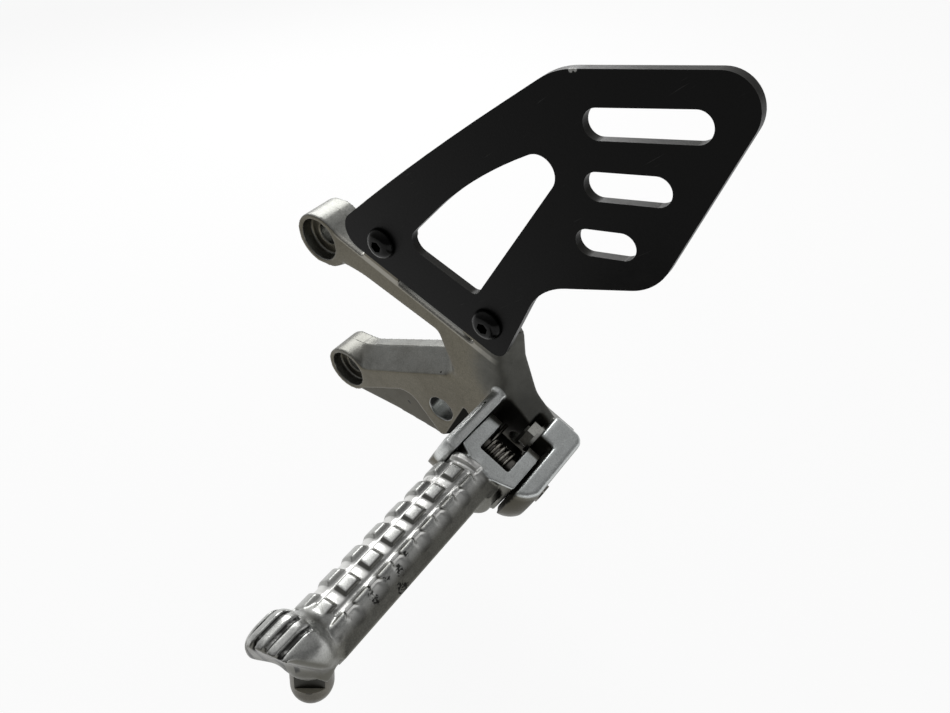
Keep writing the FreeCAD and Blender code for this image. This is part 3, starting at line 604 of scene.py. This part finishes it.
def steelMaterial(name, look):
    m, t, shader, at = startMaterial(name, 1.0)
    skin = useGroup(t, castSkin, {"Vector": at, "Clean": look["clean"], "Stain": look["stain"],
                                  "Amount": look["amount"]})
    colour = layUp(t, skin["Colour"], [(scratchesOf(t, at, steelScratches), 0.3, look["stain"])])
    if "flats" in look:
        normal = normalOf(t)
        square = ramp(t, mathOf(t, "ABSOLUTE", dotOf(t, normal, look["flats"])), 0.985, 0.995)
        flat = times(t, square, ramp(t, dotOf(t, at, look["up"]), *look["flatsFrom"]))
        # the ledge that looks up is painted pale and not metallic, a painted highlight
        ledge = ramp(t, dotOf(t, normal, look["up"]), 0.85, 0.95)
        colour = layUp(t, colour, [(flat, 1.0, look["flatColour"]), (ledge, 1.0, look["ledgeHighlight"])])
        t.links.new(mathOf(t, "SUBTRACT", 1.0, ledge), shader.inputs["Metallic"])
    t.links.new(colour, shader.inputs["Base Color"])
    t.links.new(mathOf(t, "ADD", skin["Rough"], look["rough"]), shader.inputs["Roughness"])
    bumpInto(t, shader, skin["Height"], *steelBump)
    return m


castAlloy = hangerMaterial(hangerLook)
pegAlloy = pegMaterial(pegLook)
blackCoat = guardMaterial(guardLook)
steels = {name: steelMaterial(name, look) for name, look in steelLooks.items()}
print("materials built")


def paint(obj, material):
    obj.data.materials.clear()
    obj.data.materials.append(material)


# a skin over a casting: the CAD solid remeshed finely, its edges eased as a casting's are
def skinOver(name, node, body, material, voxel, eases):
    mesh = nodes[node].data.copy()
    obj = bpy.data.objects.new(name, mesh)
    scene.collection.objects.link(obj)
    remesh = obj.modifiers.new("remesh", "REMESH")
    remesh.mode = "VOXEL"
    remesh.voxel_size = voxel
    ease = obj.modifiers.new("ease", "SMOOTH")
    ease.factor = 0.5
    ease.iterations = eases
    fine = bpy.data.meshes.new_from_object(obj.evaluated_get(bpy.context.evaluated_depsgraph_get()))
    obj.modifiers.clear()
    obj.data = fine
    fine.shade_smooth()
    paint(obj, material)
    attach(obj, body)
    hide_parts(node)
    print(name, "faces", len(fine.polygons))
    return obj


def getPlaces(mesh):
    place = np.empty(len(mesh.vertices) * 3)
    mesh.vertices.foreach_get("co", place)
    return place.reshape(-1, 3)


def setPlaces(mesh, place):
    mesh.vertices.foreach_set("co", place.ravel())
    mesh.update()


def unit(values):
    return np.clip(values, 0.0, 1.0)


def easeInOut(values):
    return values * values * (3 - 2 * values)


# smooths the mesh near some lines, each with its two ends and its reach
def relax(mesh, blends, rounds):
    n = len(mesh.vertices)
    place = getPlaces(mesh)
    ends = np.empty(len(mesh.edges) * 2, dtype=np.int64)
    mesh.edges.foreach_get("vertices", ends)
    a = ends[0::2]
    b = ends[1::2]
    count = (np.bincount(a, minlength=n) + np.bincount(b, minlength=n))[:, None]
    weight = np.zeros(n)
    for start, end, reach in blends:
        line = np.array(end) - np.array(start)
        along = unit((place - np.array(start)) @ line / (line @ line))
        away = np.linalg.norm(place - np.array(start) - along[:, None] * line, axis=1)
        weight = np.maximum(weight, unit((reach - away) / (0.5 * reach)))
    weight = 0.5 * weight[:, None]
    for _ in range(rounds):
        total = np.empty((n, 3))
        for k in range(3):
            total[:, k] = np.bincount(a, place[b, k], n) + np.bincount(b, place[a, k], n)
        place = place + weight * (total / count - place)
    setPlaces(mesh, place)


# places where the casting runs smoothly from one form into the next
castBlends = [
    ((0.0864, -0.0160, -0.0140), (0.0872, -0.0160, -0.0260), 0.0045),
    ((0.0872, -0.0160, -0.0260), (0.0908, -0.0160, -0.0385), 0.0045),
    ((0.0820, -0.0160, -0.0350), (0.0868, -0.0160, -0.0362), 0.0045),
    ((0.0620, -0.0160, -0.0430), (0.0670, -0.0160, -0.0430), 0.0030),
]

# arms that run into the round bosses: boss height, a point of the arm's edge (x, z), the way out of the arm,
# how far the edge stands out at the parting line and at the back, and the reach of the blend
armRoots = [
    (0.0, (0.0179, -0.0067), (-0.3312, -0.9436), (0.0078, 0.0068), 0.016),
    (0.0, (0.0182, 0.0030), (0.3843, 0.9232), (0.0013, 0.0008), 0.004),
    (-0.070, (0.0168, -0.0624), (-0.3943, 0.9190), (0.0078, 0.0068), 0.005),
]
bossShape = {
    "heights": (0.0, -0.070),
    "outer": 0.0112, "counterbore": 0.0090, "hole": 0.0045,  # radii
    "floor": -0.0105, "face": -0.0160, "parting": -0.0065,  # along Y
    "lever": (0.0556, -0.0655, 0.0060),  # x, z and radius of the lever hole
    "boreWalls": (-0.0156, -0.0109), "holeWalls": (-0.0101, -0.0005), "leverWalls": (-0.0156, -0.0005),
    "catch": 0.0009,  # how far from true a wall may be to be trued
    "floorRing": (0.0047, 0.0088), "floorCatch": 0.0008,
    "skinDeep": 0.0020,  # the blend moves only what is this near the surface
    "blendStart": (0.001, 0.004), "blendEnd": (0.030, 0.006),  # x and fade
}


# round bosses, counterbores and holes come back to true circles, and the arms flow into the bosses
def shapeBosses(mesh, shape, roots):
    place = getPlaces(mesh)
    y = place[:, 1]
    face, parting = shape["face"], shape["parting"]
    startX, startFade = shape["blendStart"]
    endX, endFade = shape["blendEnd"]
    for height, edge, out, (stand, standBack), reach in roots:
        stands = np.where(y < parting, stand * (y - face) / (parting - face),
                          stand + (standBack - stand) * (1 - y / parting))
        dx, dz = place[:, 0], place[:, 2] - height
        away = np.hypot(dx, dz) + 1e-9
        toBoss = away - shape["outer"]
        toArm = (place[:, 0] - edge[0]) * out[0] + (place[:, 2] - edge[1]) * out[1] - stands
        share = unit((reach - np.abs(toBoss - toArm)) / reach)
        push = share ** 2 * reach / 4 * unit(1 - np.abs(np.minimum(toBoss, toArm)) / shape["skinDeep"])
        push *= unit((dx - startX) / startFade) * unit((endX - dx) / endFade)
        side = 0.5 + 0.5 * np.clip((toArm - toBoss) / reach, -1.0, 1.0)
        place[:, 0] += push * (side * dx / away + (1 - side) * out[0])
        place[:, 2] += push * (side * dz / away + (1 - side) * out[1])
    circles = [(0.0, z, shape["counterbore"], *shape["boreWalls"]) for z in shape["heights"]]
    circles += [(0.0, z, shape["hole"], *shape["holeWalls"]) for z in shape["heights"]]
    circles.append((*shape["lever"], *shape["leverWalls"]))
    for x, z, radius, low, high in circles:
        dx, dz = place[:, 0] - x, place[:, 2] - z
        away = np.hypot(dx, dz) + 1e-9
        near = (np.abs(away - radius) < shape["catch"]) & (y > low) & (y < high)
        scale = np.where(near, radius / away, 1.0)
        place[:, 0] = x + dx * scale
        place[:, 2] = z + dz * scale
    inner, outer = shape["floorRing"]
    for z in shape["heights"]:
        away = np.hypot(place[:, 0], place[:, 2] - z)
        flat = (away > inner) & (away < outer) & (np.abs(y - shape["floor"]) < shape["floorCatch"])
        place[flat, 1] = shape["floor"]
    setPlaces(mesh, place)


hangerSkin = skinOver("hangerSkin", "hanger_casting", "hanger", castAlloy,
                      voxel=0.00066, eases=3)
relax(hangerSkin.data, castBlends, rounds=45)
shapeBosses(hangerSkin.data, bossShape, armRoots)

# the end lip is rounded all round its front
lipBlends = [
    ((0.0815, -0.1412, -0.0475), (0.0945, -0.1368, -0.0488), 0.0062),
    ((0.0945, -0.1368, -0.0488), (0.1010, -0.1350, -0.0480), 0.0050),
    ((0.1010, -0.1350, -0.0480), (0.1065, -0.1300, -0.0480), 0.0040),
    ((0.0822, -0.1390, -0.0390), (0.0815, -0.1412, -0.0475), 0.0050),
]

# its rear edge runs softly into the feeler's boss
lipRuns = [
    ((0.1046, -0.1362, -0.0375), (0.1066, -0.1337, -0.0404), 0.0042),
    ((0.1066, -0.1337, -0.0404), (0.1074, -0.1317, -0.0422), 0.0056),
    ((0.1074, -0.1317, -0.0422), (0.1062, -0.1264, -0.0463), 0.0056),
]

# the cross grooves run out in shallow hollows down the rear flank; angles in degrees round the tread
runOut = {
    "first": -0.050315, "last": 6, "half": 0.0026, "soft": 1.35,
    "from": 30.0, "centre": 38.0, "to": 62.0, "deep": 0.0011,
    "flank": 56.5,  # square to the flank
    "inner": 0.009,  # what lies nearer the axis stays
}


def hollowFlank(mesh, shape):
    place = getPlaces(mesh)
    dx, dz = place[:, 0] - pegAxis[0], place[:, 2] - pegAxis[2]
    turn = np.degrees(np.arctan2(dx, dz))
    rise = unit((turn - shape["from"]) / (shape["centre"] - shape["from"]))
    fall = unit((shape["to"] - turn) / (shape["to"] - shape["centre"]))
    across = easeInOut(np.minimum(rise, fall))
    row = np.clip(np.round((shape["first"] - place[:, 1]) / rowPitch), 0, shape["last"])
    off = np.abs(place[:, 1] - (shape["first"] - row * rowPitch)) / shape["half"]
    along = easeInOut(unit(shape["soft"] - off))
    push = np.where(np.hypot(dx, dz) > shape["inner"], shape["deep"] * across * along, 0.0)
    flank = math.radians(shape["flank"])
    place[:, 0] -= push * math.sin(flank)
    place[:, 2] -= push * math.cos(flank)
    setPlaces(mesh, place)


pegSkin = skinOver("pegSkin", "footpeg", "peg", pegAlloy, voxel=0.00042, eases=2)
relax(pegSkin.data, lipBlends, rounds=120)
relax(pegSkin.data, lipRuns, rounds=200)
hollowFlank(pegSkin.data, runOut)


# plates and small parts keep their CAD mesh, with eased edges
def easeEdges(node, material, width, segments):
    obj = nodes[node]
    paint(obj, material)
    bevel = obj.modifiers.new("easedEdges", "BEVEL")
    bevel.width = width
    bevel.segments = segments
    bevel.limit_method = "ANGLE"
    bevel.angle_limit = math.radians(35)  # flatter edges stay sharp
    bevel.harden_normals = True


# node, material, width of the eased edge and its steps
easedParts = [
    ("heel_guard", blackCoat, 0.0006, 3),
    ("guard_screws", steels["blackScrew"], 0.0002, 2),
    ("bank_feeler", steels["feelerSteel"], 0.0003, 2),
    ("pivot_pin", steels["pinSteel"], 0.0003, 2),
    ("pin_washer", steels["pinSteel"], 0.0002, 2),
    ("split_pin", steels["pinSteel"], 0.0001, 2),
    ("cross_bolt", steels["boltZinc"], 0.0003, 2),
]
for part in easedParts:
    easeEdges(*part)

# return spring: one smooth round wire, coil and two legs
springShape = {"start": 0.10535, "pitch": 0.0021, "turns": 5, "coil": 0.00425, "wire": 0.0008, "stepsPerTurn": 24,
               "y": -0.0324, "q": -0.003, "webY": -0.0164, "slotY": -0.0397, "floorQ": -0.0098, "legY": 0.004}


def makeSpring(shape):
    start, coil, y, q = shape["start"], shape["coil"], shape["y"], shape["q"]
    end = start + shape["turns"] * shape["pitch"]
    path = [hingeToRow(start, shape["webY"], q - coil), hingeToRow(start, y + shape["legY"], q - coil)]
    steps = shape["stepsPerTurn"] * shape["turns"]
    for k in range(steps + 1):
        a = 2 * math.pi * shape["turns"] * k / steps
        path.append(hingeToRow(start + (end - start) * k / steps, y - coil * math.sin(a), q - coil * math.cos(a)))
    path.append(hingeToRow(end, shape["slotY"], shape["floorQ"]))
    curve = bpy.data.curves.new("returnSpring", "CURVE")
    curve.dimensions = "3D"
    curve.bevel_depth = shape["wire"]
    curve.bevel_resolution = 4
    curve.use_fill_caps = True
    line = curve.splines.new("POLY")
    line.points.add(len(path) - 1)
    for point, place in zip(line.points, path):
        point.co = (*place, 1.0)
    helper = bpy.data.objects.new("returnSpringLine", curve)
    scene.collection.objects.link(helper)
    mesh = bpy.data.meshes.new_from_object(helper.evaluated_get(bpy.context.evaluated_depsgraph_get()))
    bpy.data.objects.remove(helper)
    obj = bpy.data.objects.new("returnSpring", mesh)
    scene.collection.objects.link(obj)
    mesh.shade_smooth()
    paint(obj, steels["springSteel"])
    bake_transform(obj)
    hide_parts("return_spring")


makeSpring(springShape)
print("pieces made")

# plain pale floor, white to the camera and in reflections
floorLook = {"height": -0.16, "half": 6.0, "colour": (0.82, 0.82, 0.82, 1), "rough": 0.9, "share": 0.9}


def makeFloor(look):
    mesh = bpy.data.meshes.new("floor")
    h = look["half"]
    mesh.from_pydata([(-h, -h, 0), (h, -h, 0), (h, h, 0), (-h, h, 0)], [], [(0, 1, 2, 3)])
    floor = bpy.data.objects.new("floor", mesh)
    floor.location = (0, 0, look["height"])
    scene.collection.objects.link(floor)
    m = bpy.data.materials.new("paleFloor")
    m.use_nodes = True
    t = m.node_tree
    shader = t.nodes["Principled BSDF"]
    shader.inputs["Base Color"].default_value = look["colour"]
    shader.inputs["Roughness"].default_value = look["rough"]
    white = addNode(t, "ShaderNodeEmission", {"Color": (1, 1, 1, 1), "Strength": 1.0})
    rays = addNode(t, "ShaderNodeLightPath").outputs
    mirrored = mathOf(t, "MAXIMUM", rays["Is Glossy Ray"], rays["Is Transmission Ray"])
    seen = times(t, mathOf(t, "MAXIMUM", rays["Is Camera Ray"], mirrored), look["share"])
    mix = addNode(t, "ShaderNodeMixShader", {0: seen, 1: shader.outputs[0], 2: white.outputs[0]})
    t.links.new(mix.outputs[0], t.nodes["Material Output"].inputs["Surface"])
    mesh.materials.append(m)


makeFloor(floorLook)

# soft studio light: a bright side above and behind on the left, a dim side to the right
worldLook = {
    "towards": (-0.55, 0.45, 0.70),
    "stops": [(0.0, 0.14), (0.42, 0.18), (0.70, 0.34), (0.88, 0.60), (1.0, 0.80)],
}


def makeWorld(look):
    world = bpy.data.worlds.new("studio")
    world.use_nodes = True
    t = world.node_tree
    way = addNode(t, "ShaderNodeTexCoord").outputs["Generated"]
    share = ramp(t, dotOf(t, way, Vector(look["towards"]).normalized()), -1.0, 1.0, smooth=False)
    stops = addNode(t, "ShaderNodeValToRGB", {0: share})
    bar = stops.color_ramp
    for k, (at, level) in enumerate(look["stops"]):
        e = bar.elements[k] if k < 2 else bar.elements.new(at)
        e.position = at
        e.color = (level, level, level, 1)
    t.links.new(stops.outputs[0], t.nodes["Background"].inputs["Color"])
    scene.world = world


makeWorld(worldLook)

keyLook = {"place": (-0.48, 0.44, 0.44), "aim": (0.07, -0.05, -0.02), "size": 0.60, "power": 5.0}


def makeKeyLamp(look):
    data = bpy.data.lights.new("keyPanel", "AREA")
    data.shape = "SQUARE"
    data.size = look["size"]
    data.energy = look["power"]
    lamp = bpy.data.objects.new("keyPanel", data)
    scene.collection.objects.link(lamp)
    lamp.location = look["place"]
    lamp.rotation_euler = (Vector(look["aim"]) - Vector(look["place"])).to_track_quat("-Z", "Y").to_euler()


makeKeyLamp(keyLook)
print("stage and light set")
